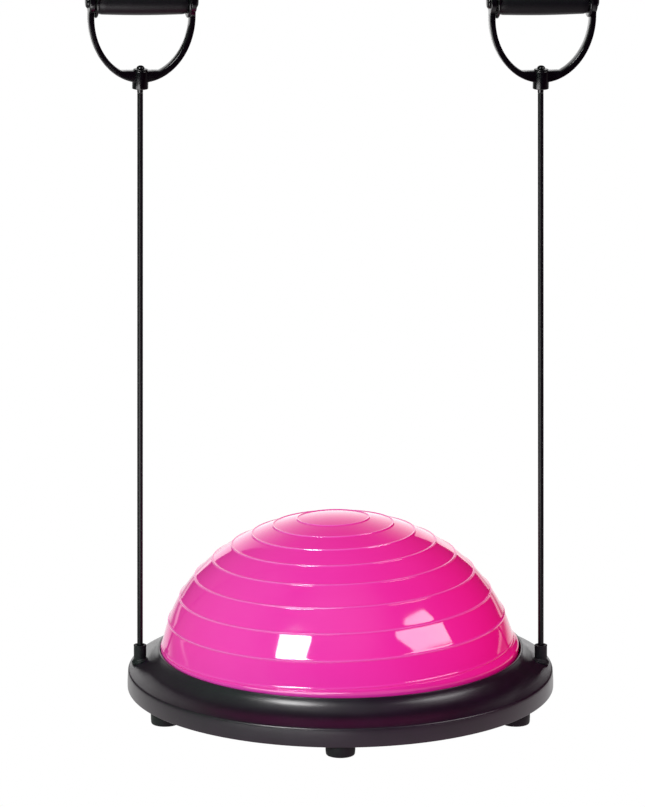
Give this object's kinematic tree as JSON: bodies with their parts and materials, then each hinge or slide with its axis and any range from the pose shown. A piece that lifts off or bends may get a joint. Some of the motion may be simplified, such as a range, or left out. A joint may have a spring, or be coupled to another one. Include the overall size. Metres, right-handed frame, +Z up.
{
  "type": "balance dome trainer",
  "caption": "Inflated half-ball balance trainer on a round footed base, with a stretchy tube and a swivelling D-shaped hand grip on each side.",
  "frame": {"origin": "on the floor, under the middle of the round base", "axes": "+Z up through the top of the dome, +X from the left tube to the right tube, -Y the side with the front foot"},
  "size_m": [0.5226, 0.45, 0.752],
  "materials": {
    "dome_vinyl": "glossy pink vinyl with raised rings",
    "shell_plastic": "satin black moulded plastic",
    "handle_plastic": "glossy black moulded plastic",
    "black_rubber": "matt black rubber",
    "tube_rubber": "semi-gloss black elastic tube",
    "grip_foam": "matt black foam",
    "screw_steel": "zinc-plated steel"
  },
  "bodies": {
    "base": {"base_top_shell": "shell_plastic", "base_bottom_shell": "shell_plastic", "dome": "dome_vinyl", "clamp_ring": "shell_plastic", "valve_seat": "black_rubber", "foot_1": "black_rubber", "foot_2": "black_rubber", "foot_3": "black_rubber", "foot_4": "black_rubber", "foot_5": "black_rubber", "foot_6": "black_rubber", "foot_screw_1": "screw_steel", "foot_screw_2": "screw_steel", "foot_screw_3": "screw_steel", "foot_screw_4": "screw_steel", "foot_screw_5": "screw_steel", "foot_screw_6": "screw_steel", "shell_screw_1": "screw_steel", "shell_screw_2": "screw_steel", "shell_screw_3": "screw_steel", "shell_screw_4": "screw_steel", "shell_screw_5": "screw_steel", "shell_screw_6": "screw_steel", "shell_screw_7": "screw_steel", "shell_screw_8": "screw_steel", "left_collar": "black_rubber", "left_collar_nut": "screw_steel", "left_lower_stopper": "black_rubber", "left_tube": "tube_rubber", "right_collar": "black_rubber", "right_collar_nut": "screw_steel", "right_lower_stopper": "black_rubber", "right_tube": "tube_rubber"},
    "valve_plug": {"valve_plug": "black_rubber"},
    "left_tube_end": {"left_tube_end": "handle_plastic"},
    "left_handle": {"left_yoke": "handle_plastic", "left_hub_washer": "handle_plastic", "left_axle": "screw_steel", "left_axle_cap_left": "handle_plastic", "left_axle_cap_right": "handle_plastic"},
    "left_grip": {"left_grip_core": "handle_plastic", "left_grip_foam": "grip_foam", "left_grip_collar_left": "handle_plastic", "left_grip_collar_right": "handle_plastic"},
    "right_tube_end": {"right_tube_end": "handle_plastic"},
    "right_handle": {"right_yoke": "handle_plastic", "right_hub_washer": "handle_plastic", "right_axle": "screw_steel", "right_axle_cap_left": "handle_plastic", "right_axle_cap_right": "handle_plastic"},
    "right_grip": {"right_grip_core": "handle_plastic", "right_grip_foam": "grip_foam", "right_grip_collar_left": "handle_plastic", "right_grip_collar_right": "handle_plastic"}
  },
  "joints": [
    {"name": "valve_plug_pull", "type": "slide", "parent": "base", "child": "valve_plug", "axis": [0, 0, -1], "range_m": [0, 0.011]},
    {"name": "left_tube_stretch", "type": "slide", "parent": "base", "child": "left_tube_end", "axis": [0.0119, 0, 0.9999], "range_m": [0, 0.59], "stiffness_N_per_m": 130, "deforming": ["left_tube"]},
    {"name": "left_handle_swivel", "type": "hinge", "parent": "left_tube_end", "child": "left_handle", "pos_m": [-0.20469, 0, 0.64406], "axis": [0.0328, -0.0401, 0.9987], "continuous": true},
    {"name": "left_grip_spin", "type": "hinge", "parent": "left_handle", "child": "left_grip", "pos_m": [-0.20174, -0.00362, 0.73404], "axis": [0.9732, 0.229, -0.0228], "continuous": true},
    {"name": "right_tube_stretch", "type": "slide", "parent": "base", "child": "right_tube_end", "axis": [-0.0119, 0, 0.9999], "range_m": [0, 0.59], "stiffness_N_per_m": 130, "deforming": ["right_tube"]},
    {"name": "right_handle_swivel", "type": "hinge", "parent": "right_tube_end", "child": "right_handle", "pos_m": [0.20469, 0, 0.64406], "axis": [0.0091, -0.0401, 0.9992], "continuous": true},
    {"name": "right_grip_spin", "type": "hinge", "parent": "right_handle", "child": "right_grip", "pos_m": [0.20551, -0.00362, 0.73408], "axis": [0.9878, 0.1554, -0.0027], "continuous": true}
  ]
}
